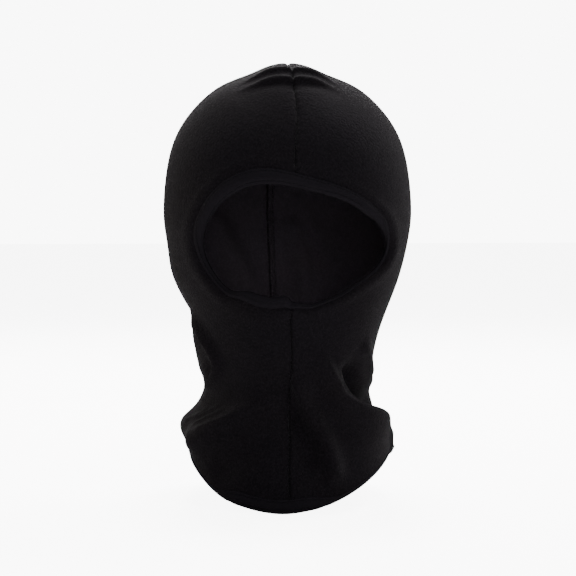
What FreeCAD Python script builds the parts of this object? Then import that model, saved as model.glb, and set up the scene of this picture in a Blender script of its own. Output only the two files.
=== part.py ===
"""Fleece balaclava: two sewn side panels, a bound face opening, a bound hem and the threads that join them.

Millimetres. +Z is up, the wearer looks along -Y and +X is the wearer's left. The origin is the centre of
the space for the head, level with the widest place above the ears. The garment is drawn in its worn shape.
"""
import FreeCAD, Part
import math
import os

from FreeCAD import Placement, Rotation, Vector

# name, value in millimetres or degrees, what it is
SIZES = [
    ("fleece", 2.0, "thickness of the fleece panels"),
    ("jersey", 0.7, "thickness of the binding tape"),
    ("allowance", 6.0, "height of the seam allowances inside the hood"),
    ("ply_gap", 0.05, "clearance between the two allowances and what lies on them"),
    ("thread", 0.24, "radius of the sewing thread"),
    ("stitch_pitch", 3.4, "length of one stitch"),
    ("overlock_pitch", 4.0, "spacing of the overlock loops"),
    ("dome_rise", 110.0, "crown above the widest level"),
    ("opening_halfwidth", 60.0, "face opening, half of its width"),
    ("opening_halfheight", 41.0, "face opening, half of its height"),
    ("opening_level", -19.0, "height of the middle of the face opening"),
    ("band_width", 11.0, "width of the tape that shows round the face opening"),
    ("hem_width", 11.0, "width of the tape that shows round the hem"),
    ("hem_radius", 109.0, "radius of the hem's arc seen from the front"),
    ("hem_drop", -203.0, "lowest level of the hem, at the front and back"),
    ("elastic_width", 5.6, "width of the elastic inside the face band"),
    ("elastic_thickness", 1.0, "thickness of that elastic"),
    ("front_tuck", -43.0, "front pair of crown tucks, front-to-back place"),
    ("rear_tuck", -29.0, "rear pair of crown tucks, front-to-back place"),
    ("tuck_bend", 57.0, "radius of a tuck's arc from the crown seam towards the ear"),
    ("tuck_roll", 2.1, "radius of the fold that a tuck makes"),
    ("tuck_sink", 0.8, "depth of that fold's centre below the outer face"),
    ("label_width", 20.0, "width of the blank care label"),
    ("label_height", 28.0, "height of the blank care label"),
    ("label_thickness", 0.4, "thickness of the blank care label"),
    ("label_level", -150.0, "lower edge of the care label"),
]

# level name: height, half width, half depth and front-to-back centre of the hood's outer surface
LEVELS = [
    ("foot", -232.0, 73.0, 92.0, 0.0),
    ("bib", -200.0, 75.0, 91.0, 0.0),
    ("skirt", -176.0, 76.5, 87.5, 1.0),
    ("shoulder", -158.0, 75.5, 83.0, 1.0),
    ("collar", -143.0, 68.5, 78.0, -1.0),
    ("throat", -128.0, 61.5, 75.0, -4.0),
    ("nape", -112.0, 62.0, 77.5, -7.0),
    ("jaw", -92.0, 66.5, 85.0, -8.0),
    ("chin", -70.0, 72.5, 93.0, -6.0),
    ("mouth", -45.0, 81.0, 100.0, -2.0),
    ("cheek", -20.0, 87.5, 105.5, 1.5),
    ("brow", 0.0, 90.0, 108.0, 3.0),
]
DOME_STEPS = [15, 30, 45, 58, 69, 78, 85]   # degrees above the brow level on the dome's ellipse
REACH = 160.0                               # half size of the blocks and prisms that cut the hood
TUCK_SWEEP = 38.0                           # degrees that a tuck runs down from the crown seam
TACK_STARTS = [5.0, 8.0]                    # distances of a tuck's two tacks from the middle plane
TACK_LENGTH = 6.0                           # length of a tack across the tuck
LABEL_START = 3.5                           # side of the care label nearest the crown seam
EDGE_ROW, FLEECE_ROW = 3.6, 1.8             # needle rows: in from a tape's fold, and in from its other edge
STITCH_SHARE = 0.72                         # part of each stitch's length where the thread shows
NEEDLE_DEPTH = 1.5                          # the seam's needle row, below the hood's inner face
SEAM_STOP = 3.0                             # the seam's threads end this far from a tape
JOIN_ROWS = [1.2, 4.4, 6.6, 10.6]           # distances of a tape's join stitches from its fold
JOIN_SHIFT = 1.5                            # the joins stand this far beside the middle seam
ELASTIC_JOIN_ROWS = [2.2, 3.8, 5.4]         # distances of the bars across the elastic's join from the fold
ELASTIC_JOIN_SPAN = [4.0, 9.0]              # start and end of those bars, beside the middle seam
LABEL_CLEAR = 0.3                           # the care label lies this far inside the fleece

doc = FreeCAD.newDocument("balaclava")


def make_sheet():
    """Driving dimensions in column A, their meaning in column B, each named by an alias."""
    sheet = doc.addObject("Spreadsheet::Sheet", "Sizes")
    rows = list(SIZES)
    for level, height, width, depth, centre in LEVELS:
        rows.append((level + "_height", height, f"{level} level, height"))
        rows.append((level + "_width", width, f"{level} level, half width"))
        rows.append((level + "_depth", depth, f"{level} level, half depth"))
        rows.append((level + "_centre", centre, f"{level} level, front-to-back centre"))
    for row, (alias, value, note) in enumerate(rows, 1):
        sheet.set(f"A{row}", str(value))
        sheet.set(f"B{row}", note)
        sheet.setAlias(f"A{row}", alias)
    doc.recompute()
    return sheet


sheet = make_sheet()


def size(alias):
    return float(sheet.get(alias))


# ---------------------------------------------------------------- the hood's form, grown or shrunk by an offset

def section_terms(offset):
    """Expressions for height, half width, half depth and centre of each section of one form."""
    terms = []
    for level, *_ in LEVELS:
        terms.append((f"Sizes.{level}_height", f"Sizes.{level}_width + ({offset})",
                      f"Sizes.{level}_depth + ({offset})", f"Sizes.{level}_centre"))
    for angle in DOME_STEPS:
        terms.append((f"(Sizes.dome_rise + ({offset})) * sin({angle} deg)",
                      f"(Sizes.brow_width + ({offset})) * cos({angle} deg)",
                      f"(Sizes.brow_depth + ({offset})) * cos({angle} deg)", "Sizes.brow_centre"))
    return terms


def make_form(name, offset):
    """Solid loft through level ellipses, offset from the fleece's outer face. offset is an expression."""
    rings = []
    for number, (height, width, depth, centre) in enumerate(section_terms(offset)):
        ring = doc.addObject("Part::Ellipse", f"{name}_ring_{number}")
        ring.MajorRadius = 2 * REACH                       # above any minor radius until the sheet sets it
        ring.MinorRadius = REACH
        ring.Placement = Placement(Vector(), Rotation(Vector(0, 0, 1), 90))
        ring.setExpression("MajorRadius", depth)
        ring.setExpression("MinorRadius", width)
        ring.setExpression("Placement.Base.y", centre)
        ring.setExpression("Placement.Base.z", height)
        rings.append(ring)
    form = doc.addObject("Part::Loft", name)
    form.Sections = rings
    form.Solid = True
    form.Ruled = False
    return form


def boolean(kind, name, base, tool):
    result = doc.addObject(f"Part::{kind}", name)
    result.Base = base
    result.Tool = tool
    return result


def cut(name, base, tool):
    return boolean("Cut", name, base, tool)


def common(name, base, tool):
    return boolean("Common", name, base, tool)


outer_face = make_form("outer_face", "0")
inner_face = make_form("inner_face", "-Sizes.fleece")
allowance_face = make_form("allowance_face", "-Sizes.fleece - Sizes.allowance")
tape_outer_face = make_form("tape_outer_face", "Sizes.jersey")
tape_inner_face = make_form("tape_inner_face", "-Sizes.fleece - Sizes.jersey")
elastic_outer_face = make_form("elastic_outer_face", "-(Sizes.fleece - Sizes.elastic_thickness) / 2")
elastic_inner_face = make_form("elastic_inner_face", "-(Sizes.fleece + Sizes.elastic_thickness) / 2")


# ---------------------------------------------------------------- cutting tools

def opening_prism(name, margin):
    """Elliptical prism through the front of the hood: the face opening grown by margin, an expression."""
    outline = doc.addObject("Part::Ellipse", name + "_outline")
    outline.MajorRadius = REACH
    outline.setExpression("MajorRadius", f"Sizes.opening_halfwidth + ({margin})")
    outline.setExpression("MinorRadius", f"Sizes.opening_halfheight + ({margin})")
    outline.Placement = Placement(Vector(), Rotation(Vector(1, 0, 0), 90))
    outline.setExpression("Placement.Base.z", "Sizes.opening_level")
    prism = doc.addObject("Part::Extrusion", name)
    prism.Base = outline
    prism.DirMode = "Custom"
    prism.Dir = Vector(0, -1, 0)
    prism.LengthFwd = REACH
    prism.Solid = True
    return prism


def hem_drum(name, margin):
    """Cylinder along Y whose underside is the hem's arc, raised by margin, an expression."""
    drum = doc.addObject("Part::Cylinder", name)
    drum.Height = 2 * REACH
    drum.Placement = Placement(Vector(0, REACH, 0), Rotation(Vector(1, 0, 0), 90))
    drum.setExpression("Radius", f"Sizes.hem_radius - ({margin})")
    drum.setExpression("Placement.Base.z", "Sizes.hem_drop + Sizes.hem_radius")
    return drum


def block(name, low, high):
    box = doc.addObject("Part::Box", name)
    box.Length, box.Width, box.Height = high.x - low.x, high.y - low.y, high.z - low.z
    box.Placement = Placement(low, Rotation())
    return box


def below_hem(name, margin):
    """Everything under the hem's arc, raised by margin."""
    ground = block(name + "_ground", Vector(-REACH, -REACH, -2 * REACH), Vector(REACH, REACH, 0))
    ground.setExpression("Height", f"{2 * REACH} + Sizes.hem_drop + Sizes.hem_radius")
    return cut(name, ground, hem_drum(name + "_drum", margin))


# ---------------------------------------------------------------- fleece panels

def make_tucks(side_name, side):
    """Two rolls of fleece where the crown is pleated into its seam, on the side given by its sign."""
    rolls = []
    for tuck in ("front_tuck", "rear_tuck"):
        roll = doc.addObject("Part::Torus", f"{side_name}_{tuck}")
        roll.setExpression("Radius1", "Sizes.tuck_bend")
        roll.setExpression("Radius2", "Sizes.tuck_roll")
        roll.Angle3 = TUCK_SWEEP
        turned = Rotation(Vector(0, 0, 1), Vector(side, 0, 0), Vector(0, side, 0))
        roll.Placement = Placement(Vector(), turned)
        roll.setExpression("Placement.Base.y", f"Sizes.{tuck}")
        # of the way to the dome's front
        share = f"(Sizes.{tuck} - Sizes.brow_centre) / Sizes.brow_depth"
        crown = f"Sizes.dome_rise * sqrt(1 - pow({share}; 2))"
        roll.setExpression("Placement.Base.z", f"{crown} - Sizes.tuck_bend - Sizes.tuck_sink")
        rolls.append(cut(f"{side_name}_{tuck}_roll", roll, inner_face))
    return rolls


def make_panels():
    """Two mirrored shells that meet on the middle plane, each with its seam allowance turned inside."""
    wall = cut("wall", outer_face, inner_face)
    bound = "Sizes.elastic_width + 2 * Sizes.jersey + 0.5"            # raw edge, beside the elastic
    wall = cut("wall_with_face", wall, opening_prism("raw_face_edge", bound))
    wall = cut("wall_with_hem", wall, below_hem("raw_hem_edge", "Sizes.jersey + 0.3"))

    rib = cut("allowance_wall", inner_face, allowance_face)
    rib = cut("allowance_with_face", rib, opening_prism("allowance_face_end", "Sizes.band_width + 0.6"))
    rib = cut("allowance_with_hem", rib, below_hem("allowance_hem_end", "Sizes.hem_width + 0.6"))

    panels = []
    for name, side in (("left_panel", 1), ("right_panel", -1)):
        half = block(name + "_half", Vector(min(0, side * REACH), -REACH, -2 * REACH),
                     Vector(max(0, side * REACH), REACH, REACH))
        slab = block(name + "_slab", Vector(min(0, side * size("fleece")), -REACH, -2 * REACH),
                     Vector(max(0, side * size("fleece")), REACH, REACH))
        slab.setExpression("Length", "Sizes.fleece - Sizes.ply_gap")
        if side < 0:
            slab.setExpression("Placement.Base.x", "-(Sizes.fleece - Sizes.ply_gap)")
        body = boolean("Fuse", name + "_body",
                       common(name + "_wall", wall, half), common(name + "_rib", rib, slab))
        front_roll, rear_roll = make_tucks(name, side)
        body = boolean("Fuse", name + "_with_front_tuck", body, front_roll)
        panel = boolean("Fuse", name, body, rear_roll)
        panel.Label = name
        panels.append(panel)
    return panels


# ---------------------------------------------------------------- binding tapes and elastic

def make_bands():
    """Jersey tapes folded over the raw edges: a ring round the face opening and one round the hem."""
    tape = cut("tape_wall", tape_outer_face, tape_inner_face)
    core = cut("core_wall", outer_face, inner_face)

    ring = cut("face_ring", opening_prism("face_band_limit", "Sizes.band_width"),
               opening_prism("face_band_edge", "0"))
    core_face = cut("face_core", core, opening_prism("face_core_edge", "Sizes.jersey"))
    face_band = cut("face_band", common("face_band_block", tape, ring), core_face)
    face_band.Label = "face_band"

    hem_limit = below_hem("hem_band_limit", "Sizes.hem_width")
    hem_ring = cut("hem_ring", hem_limit, below_hem("hem_band_edge", "0"))
    core_hem = cut("hem_core", core, below_hem("hem_core_edge", "Sizes.jersey"))
    hem_band = cut("hem_band", common("hem_band_block", tape, hem_ring), core_hem)
    hem_band.Label = "hem_band"
    return [face_band, hem_band]


def make_elastic():
    """Flat elastic that lies inside the face band, between the fold and the raw edge of the fleece."""
    wall = cut("elastic_wall", elastic_outer_face, elastic_inner_face)
    start = "Sizes.jersey + 0.3"
    ring = cut("elastic_ring", opening_prism("elastic_limit", f"{start} + Sizes.elastic_width"),
               opening_prism("elastic_edge", start))
    elastic = common("face_elastic", wall, ring)
    elastic.Label = "face_elastic"
    return elastic


# ---------------------------------------------------------------- care label

def make_label():
    """Blank woven label that lies inside the left panel at the back of the neck, beside the crown seam."""
    clear = f"Sizes.fleece + {LABEL_CLEAR}"
    outer = make_form("label_outer_face", f"-({clear})")
    inner = make_form("label_inner_face", f"-({clear}) - Sizes.label_thickness")
    patch = block("label_patch", Vector(LABEL_START, 0, 0), Vector(LABEL_START + 1, REACH, 1))
    patch.setExpression("Length", "Sizes.label_width")
    patch.setExpression("Height", "Sizes.label_height")
    patch.setExpression("Placement.Base.z", "Sizes.label_level")
    label = common("care_label", cut("label_wall", outer, inner), patch)
    label.Label = "care_label"
    return label


# ---------------------------------------------------------------- threads

def form_shape(offset):
    """The same loft as make_form, as a bare shape, for thread routes at a given offset in millimetres."""
    sections = [(Vector(0, centre, height), width + offset, depth + offset)
                for _, height, width, depth, centre in LEVELS]
    for angle in DOME_STEPS:
        rise, run = math.sin(math.radians(angle)), math.cos(math.radians(angle))
        sections.append((Vector(0, size("brow_centre"), (size("dome_rise") + offset) * rise),
                         (size("brow_width") + offset) * run, (size("brow_depth") + offset) * run))
    rings = [Part.Wire(Part.Ellipse(m + Vector(0, d, 0), m + Vector(-w, 0, 0), m).toShape())
             for m, w, d in sections]
    return Part.makeLoft(rings, True, False)


def strand(start, end, radius):
    """One straight run of thread."""
    run = end - start
    return Part.makeCylinder(radius, run.Length, start, run)


def add_threads(name, strands):
    node = doc.addObject("Part::Feature", name)
    node.Shape = Part.makeCompound(strands)
    node.Label = name
    return node


def spread(shape, pitch):
    """Points evenly along a wire, about a pitch apart."""
    return shape.discretize(Number=max(3, round(shape.Length / pitch) + 1))


def longest_wire(edges):
    return max((Part.Wire(chain) for chain in Part.sortEdges(edges)), key=lambda wire: wire.Length)


def dashes(points, radius):
    """A running row of stitches: one short strand per step, with a gap after each."""
    return [strand(a, a + (b - a) * STITCH_SHARE, radius) for a, b in zip(points, points[1:])]


def zigzag(row, other, radius):
    """Looper thread that crosses between two needle rows at every stitch, clear of itself at the turns."""
    strands = []
    for here, across, following in zip(row, other, row[1:]):
        strands.append(strand(here + (across - here) * 0.08, here + (across - here) * 0.92, radius))
        step = following - across
        strands.append(strand(across + step * 0.12, across + step * 0.88, radius))
    return strands


def face_route(offset, margin):
    """Wire round the face opening, margin outside its edge, on the form at that offset."""
    middle = Vector(0, 0, size("opening_level"))
    outline = Part.Ellipse(middle + Vector(size("opening_halfwidth") + margin, 0, 0),
                           middle + Vector(0, 0, size("opening_halfheight") + margin), middle)
    wall = outline.toShape().extrude(Vector(0, -REACH, 0))
    return longest_wire(wall.section(form_shape(offset)).Edges)


def hem_route(offset, margin):
    """Wire round the hem, margin above its edge, on the form at that offset."""
    radius = size("hem_radius") - margin
    centre = Vector(0, REACH, size("hem_drop") + size("hem_radius"))
    below = centre + Vector(0, 0, -radius)
    arc = Part.Arc(centre + Vector(-radius, 0, 0), below, centre + Vector(radius, 0, 0))
    wall = arc.toShape().extrude(Vector(0, -2 * REACH, 0))
    return longest_wire(wall.section(form_shape(offset)).Edges)


def tape_threads(prefix, route, tape_width):
    """Two needle rows that show on a tape, and the looper thread that crosses between them inside."""
    radius, pitch = size("thread"), size("stitch_pitch")
    outside = size("jersey") + radius
    inside = -size("fleece") - size("jersey") - radius
    margins = (EDGE_ROW, tape_width - FLEECE_ROW)
    nodes = [add_threads(f"{prefix}_{row}_stitch", dashes(spread(route(outside, margin), pitch), radius))
             for row, margin in zip(("edge", "inner"), margins)]
    count = round(route(inside, EDGE_ROW).Length / pitch)
    rows = [route(inside, margin).discretize(Number=count) for margin in margins]
    nodes.append(add_threads(prefix + "_looper_thread", zigzag(rows[0], rows[1], radius)))
    return nodes


def seam_profile(offset, pitch):
    """Points on the middle plane from the front hem up over the crown to the back hem, a pitch apart."""
    edges = form_shape(offset).slice(Vector(1, 0, 0), 0)[0].Edges
    sides = sorted(edges, key=lambda edge: edge.Length)[-2:]
    front, back = (spread(edge, pitch) for edge in sorted(sides, key=lambda edge: edge.BoundBox.Center.y))
    front.sort(key=lambda point: point.z)
    back.sort(key=lambda point: -point.z)
    return spread(Part.makePolygon(front + back), pitch)


def seam_runs(offset, pitch):
    """The two sewn stretches of that profile: the chin seam, then the crown seam."""
    profile = seam_profile(offset, pitch)
    reach = size("opening_halfheight") + size("band_width") + SEAM_STOP
    floor = size("hem_drop") + size("hem_width") + SEAM_STOP
    chin = [p for p in profile if p.y < 0 and floor < p.z < size("opening_level") - reach]
    crown = [p for p in profile if p.z > floor and (p.y > 0 or p.z > size("opening_level") + reach)]
    return {"chin_seam": chin, "crown_seam": crown}


def outward(points, number):
    """Unit normal of a middle-plane route at one of its points, out of the hood."""
    along = points[min(number + 1, len(points) - 1)] - points[max(number - 1, 0)]
    return Vector(0, -along.z, along.y).normalize()


def seam_threads():
    """Needle rows on both faces of the seam allowances, and overlock loops round their free edges."""
    radius = size("thread")
    beside = size("fleece") + radius
    nodes = []
    for seam, points in seam_runs(-size("fleece") - NEEDLE_DEPTH, size("stitch_pitch")).items():
        rows = [dashes([p + Vector(side * beside, 0, 0) for p in points], radius) for side in (-1, 1)]
        nodes.append(add_threads(seam + "_needle_thread", rows[0] + rows[1]))
    edge = -size("fleece") - size("allowance") - radius - size("ply_gap")
    for seam, points in seam_runs(edge, size("overlock_pitch")).items():
        loops = []
        for number, point in enumerate(points[:-1]):
            normal = outward(points, number)
            step = (points[number + 1] - point) * 0.5
            root = point + normal * (size("allowance") - NEEDLE_DEPTH - 3 * radius)
            foot = point + normal * (2.2 * radius)
            wide = Vector(beside, 0, 0)
            loops.append(strand(point - wide, point + wide, radius))
            loops.append(strand(foot + wide, root + wide + step, radius))
            loops.append(strand(foot - wide, root - wide + step, radius))
        nodes.append(add_threads(seam + "_overlock_thread", loops))
    return nodes


def spot(form, x, side, height):
    """Where a line along Y at that x and height meets a form, on its front (side -1) or back (side 1)."""
    ring = form.slice(Vector(0, 0, 1), height)[0]
    probe = Part.makeLine(Vector(x, side, height), Vector(x, side * REACH, height))
    return ring.distToShape(probe)[1][0][0]


def roof(form, x, y):
    """The point of a form straight above that x and y."""
    ring = form.slice(Vector(1, 0, 0), x)[0]
    probe = Part.makeLine(Vector(x, y, 1), Vector(x, y, REACH))
    return ring.distToShape(probe)[1][0][0]


def tuck_tacks():
    """Short tacks under the crown that hold each tuck folded beside the seam allowance."""
    radius = size("thread")
    lining = form_shape(-size("fleece") - radius)
    tacks = []
    for side in (-1, 1):
        for tuck in ("front_tuck", "rear_tuck"):
            for start in TACK_STARTS:
                front = roof(lining, side * start, size(tuck) - TACK_LENGTH / 2)
                rear = roof(lining, side * start, size(tuck) + TACK_LENGTH / 2)
                tacks.append(strand(front, rear, radius))
    return add_threads("crown_tuck_tacks", tacks)


def join_threads():
    """Short rows that close the ends of the elastic and of the two tapes, and hold the label."""
    radius = size("thread")
    fold = size("opening_level") - size("opening_halfheight")
    tape = form_shape(size("jersey") + radius)
    face_row = [spot(tape, JOIN_SHIFT, -1, fold - margin) for margin in JOIN_ROWS]
    hem_row = [spot(tape, JOIN_SHIFT, 1, size("hem_drop") + margin) for margin in JOIN_ROWS]
    nodes = [add_threads("face_band_join_stitch", dashes(face_row, radius)),
             add_threads("hem_band_join_stitch", dashes(hem_row, radius))]

    fine = radius * 0.8
    elastic = form_shape(-(size("fleece") - size("elastic_thickness")) / 2 + fine)
    bars = []
    for margin in ELASTIC_JOIN_ROWS:
        ends = [spot(elastic, x, -1, fold - margin) for x in ELASTIC_JOIN_SPAN]
        bars.append(strand(ends[0], ends[1], fine))
    nodes.append(add_threads("elastic_join_stitch", bars))

    label = form_shape(-(size("fleece") + LABEL_CLEAR) - size("label_thickness") - radius)
    steps = int(size("label_height") / size("stitch_pitch"))
    heights = [size("label_level") + 1 + number * size("stitch_pitch") for number in range(steps + 1)]
    column = [spot(label, LABEL_START + 1.6, 1, height) for height in heights]
    nodes.append(add_threads("care_label_stitch", dashes(column, radius)))
    return nodes


# ---------------------------------------------------------------- build, check and write

def check_and_write(nodes):
    """Stops if any object failed or any node isn't a valid solid, then writes one STEP per node."""
    for item in doc.Objects:
        if {"Invalid", "Error"} & set(item.State):
            raise RuntimeError(f"{item.Name} failed: {item.State}")
    os.makedirs("parts", exist_ok=True)
    for node in nodes:
        shape = node.Shape
        if shape.isNull() or not shape.isValid() or not shape.Solids:
            raise RuntimeError(f"{node.Label} has no valid solid")
        shape.exportStep(f"parts/{node.Label}.step")
        box = shape.BoundBox
        print(f"{node.Label}: {len(shape.Solids)} solids, {shape.Volume / 1000:.2f} cm3,"
              f" z {box.ZMin:.1f} to {box.ZMax:.1f}")


def main():
    nodes = make_panels() + make_bands() + [make_elastic(), make_label()]
    doc.recompute()
    nodes += tape_threads("face_band", face_route, size("band_width"))
    nodes += tape_threads("hem_band", hem_route, size("hem_width"))
    nodes += seam_threads() + join_threads() + [tuck_tacks()]
    doc.recompute()
    check_and_write(nodes)


main()
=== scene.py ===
"""Black fleece balaclava: two sewn panels, bound face opening and hem, and the threads that hold them.

Lengths are in millimetres until a mesh is made, when MM turns them into metres. +Z is up, the wearer looks
along -Y and +X is the wearer's left. A place on the hood is a pair of flat co-ordinates: the hood spread out
round its crown, X towards the wearer's left and Y towards the back, each place as far from the middle as it
lies down the hood. Every piece is drawn from such places and an offset out of the fleece's outer face, and
drape() lays the folds through all of them alike.
"""
import math

import bpy
import numpy as np
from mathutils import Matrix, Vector


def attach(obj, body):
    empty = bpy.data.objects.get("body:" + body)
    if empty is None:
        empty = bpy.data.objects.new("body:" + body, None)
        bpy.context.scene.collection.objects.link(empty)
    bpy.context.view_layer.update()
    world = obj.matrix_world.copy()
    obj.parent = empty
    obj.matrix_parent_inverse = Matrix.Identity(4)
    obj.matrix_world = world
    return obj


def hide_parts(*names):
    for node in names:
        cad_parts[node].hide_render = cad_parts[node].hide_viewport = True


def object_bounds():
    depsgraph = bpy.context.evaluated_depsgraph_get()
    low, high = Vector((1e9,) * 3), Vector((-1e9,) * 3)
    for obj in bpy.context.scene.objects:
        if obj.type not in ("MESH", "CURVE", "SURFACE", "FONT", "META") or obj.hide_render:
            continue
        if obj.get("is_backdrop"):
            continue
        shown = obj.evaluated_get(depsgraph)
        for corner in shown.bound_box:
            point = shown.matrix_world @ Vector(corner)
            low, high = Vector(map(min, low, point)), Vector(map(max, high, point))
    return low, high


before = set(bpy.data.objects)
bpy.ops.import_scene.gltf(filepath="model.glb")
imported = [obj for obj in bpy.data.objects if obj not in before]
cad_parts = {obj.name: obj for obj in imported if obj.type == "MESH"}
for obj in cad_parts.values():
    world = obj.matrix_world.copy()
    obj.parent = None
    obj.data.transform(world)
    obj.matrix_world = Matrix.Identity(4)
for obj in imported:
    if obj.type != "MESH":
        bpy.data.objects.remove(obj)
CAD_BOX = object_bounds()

MM = 0.001

# ---------------- the hood's form, as in the CAD model

# Height, half width, half depth and front-to-back centre of the fleece's outer face
LEVELS = np.array([
    (-232.0, 73.0, 92.0, 0.0),
    (-200.0, 75.0, 91.0, 0.0),
    (-176.0, 76.5, 87.5, 1.0),
    (-158.0, 75.5, 83.0, 1.0),
    (-143.0, 68.5, 78.0, -1.0),
    (-128.0, 61.5, 75.0, -4.0),
    (-112.0, 62.0, 77.5, -7.0),
    (-92.0, 66.5, 85.0, -8.0),
    (-70.0, 72.5, 93.0, -6.0),
    (-45.0, 81.0, 100.0, -2.0),
    (-20.0, 87.5, 105.5, 1.5),
    (0.0, 90.0, 108.0, 3.0),
])
DOME_RISE = 110.0         # height of the crown above the widest level
FOLD_RADIUS = 68.0        # half width that folds are laid out on
BROW_REACH = 155.0        # flat distance from the crown to the widest level
FLEECE = 2.0              # thickness of the fleece
ALLOWANCE = 6.0           # height of the seam allowances inside
FACE_WIDTH, FACE_HEIGHT = 58.6, 35.2      # the opening's half width and half height, along its rolled edge
FACE_LEVEL = -17.8        # height of the opening's middle
FACE_ASIDE = -2.1         # how far the opening is shifted: towards the wearer's right, as it is negative
BACK_ASIDE = 5.8          # how far the back seam is turned towards the wearer's right
BAND_WIDTH = 11.0         # width of both folded tapes
HEM_RADIUS, HEM_DROP = 109.0, -203.0      # radius of the hem's arc and its lowest level
RAW_FACE = 7.5            # the fleece's raw edge, this far outside the opening's edge
RAW_HEM = 1.0             # the fleece's raw edge, this far above the hem's
FAR = 400.0               # a margin that counts as away from the opening


def spline_slopes(knots, values):
    """Slopes of the cubic spline through those points: free at its first end and level at its last."""
    gap = np.diff(knots)
    rows = np.zeros((len(knots), len(knots)))
    right = np.zeros(len(knots))
    rows[0, :2], right[0] = (2, 1), 3 * (values[1] - values[0]) / gap[0]
    rows[-1, -1] = 1
    for i in range(1, len(knots) - 1):
        low, high = 1 / gap[i - 1], 1 / gap[i]
        rows[i, i - 1:i + 2] = low, 2 * (low + high), high
        right[i] = 3 * ((values[i] - values[i - 1]) * low ** 2 + (values[i + 1] - values[i]) * high ** 2)
    return np.linalg.solve(rows, right)


SLOPES = np.stack([spline_slopes(LEVELS[:, 0], LEVELS[:, k]) for k in (1, 2, 3)], axis=1)


def section(height):
    """Half width, half depth and centre at a height below the brow, and how each changes with height."""
    knots = LEVELS[:, 0]
    i = np.clip(np.searchsorted(knots, height) - 1, 0, len(knots) - 2)
    gap = (knots[i + 1] - knots[i])[..., None]
    t = (height[..., None] - knots[i][..., None]) / gap
    low, high, rise, fall = LEVELS[i, 1:], LEVELS[i + 1, 1:], SLOPES[i] * gap, SLOPES[i + 1] * gap
    value = ((2 * t ** 3 - 3 * t ** 2 + 1) * low + (t ** 3 - 2 * t ** 2 + t) * rise
             + (3 * t ** 2 - 2 * t ** 3) * high + (t ** 3 - t ** 2) * fall)
    slope = ((6 * t ** 2 - 6 * t) * (low - high) + (3 * t ** 2 - 4 * t + 1) * rise
             + (3 * t ** 2 - 2 * t) * fall) / gap
    return value, slope


def turn_and_reach(flat):
    """Turn round the hood, 0 at the front and growing to the wearer's left, and distance from the crown."""
    return np.arctan2(flat[..., 0], -flat[..., 1]), np.maximum(np.linalg.norm(flat, axis=-1), 1e-6)


def flat_at(turn, reach):
    """The flat place at that turn and distance from the crown."""
    return np.stack([np.sin(turn), -np.cos(turn)], axis=-1) * reach[..., None]


def level_at(reach):
    """Height at that flat distance from the crown."""
    dome = DOME_RISE * np.cos(reach / BROW_REACH * math.pi / 2)
    return np.where(reach < BROW_REACH, dome, BROW_REACH - reach)


def surface(flat):
    """Points of the fleece's outer face with no folds, and the outward normals there."""
    reach = np.maximum(np.linalg.norm(flat, axis=-1), 1e-6)
    side, back = flat[..., 0] / reach, flat[..., 1] / reach
    tilt = np.minimum(reach / BROW_REACH, 1) * math.pi / 2
    above = reach < BROW_REACH
    height = np.where(above, DOME_RISE * np.cos(tilt), BROW_REACH - reach)
    (wide, deep, mid), (wide_slope, deep_slope, mid_slope) = (
        np.moveaxis(part, -1, 0) for part in section(np.minimum(height, 0)))
    round_in = np.sin(tilt)
    points = np.stack([wide * round_in * side, mid + deep * round_in * back, height], axis=-1)
    lean = -(side ** 2 * wide_slope / wide + back * mid_slope / deep + back ** 2 * deep_slope / deep)
    normals = np.stack([side * round_in / wide, back * round_in / deep,
                        np.where(above, np.cos(tilt) / DOME_RISE, lean)], axis=-1)
    return points, normals / np.linalg.norm(normals, axis=-1, keepdims=True)


def front_flat(x, z):
    """The flat place on the front of the hood that is seen at that x and z."""
    tilt = np.arccos(np.clip(z / DOME_RISE, 0, 1))
    wide = section(np.minimum(z, 0))[0][..., 0]
    side = np.clip(x / (wide * np.sin(tilt)), -1, 1)
    reach = np.where(z > 0, BROW_REACH * tilt * 2 / math.pi, BROW_REACH - z)
    return np.stack([side, -np.sqrt(1 - side ** 2)], axis=-1) * reach[..., None]


def face_flat(turn, margin):
    """Place round the face opening, margin outside its edge. turn is 0 at the wearer's left, pi/2 on top."""
    x = (FACE_WIDTH + margin) * np.cos(turn)
    return front_flat(x, FACE_LEVEL + (FACE_HEIGHT + margin) * np.sin(turn))


def face_place(flat):
    """The turn and the margin that face_flat takes for flat places, and a far margin behind the head."""
    reach = np.maximum(np.linalg.norm(flat, axis=-1), 1e-6)
    height = level_at(reach)
    wide = section(np.minimum(height, 0))[0][..., 0] * np.sin(np.minimum(reach / BROW_REACH, 1) * math.pi / 2)
    x, z = wide * flat[..., 0] / reach, height - FACE_LEVEL
    margin = np.zeros(reach.shape)
    for _ in range(8):
        across, up = x / (FACE_WIDTH + margin), z / (FACE_HEIGHT + margin)
        size = np.maximum(np.hypot(across, up), 1e-6)
        slope = (across ** 2 / (FACE_WIDTH + margin) + up ** 2 / (FACE_HEIGHT + margin)) / size
        margin = np.clip(margin + (size - 1) / slope, -30, FAR)
    return np.arctan2(up, across), np.where(flat[..., 1] < 0, margin, FAR)


def hem_shift(turn):
    """How far below the plain hem its edge is cut: for its roll, and most at the wearer's right."""
    angle = np.degrees(turn)
    rolled = hem_roll(turn)
    hidden = rolled - HEM_ROLL_RADIUS * np.sin(np.minimum(rolled / HEM_ROLL_RADIUS, math.pi / 2))
    return hidden + 5.4 * hill(angle, -42, 26) + 2.7 * hill(angle, -5, 21)


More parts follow.
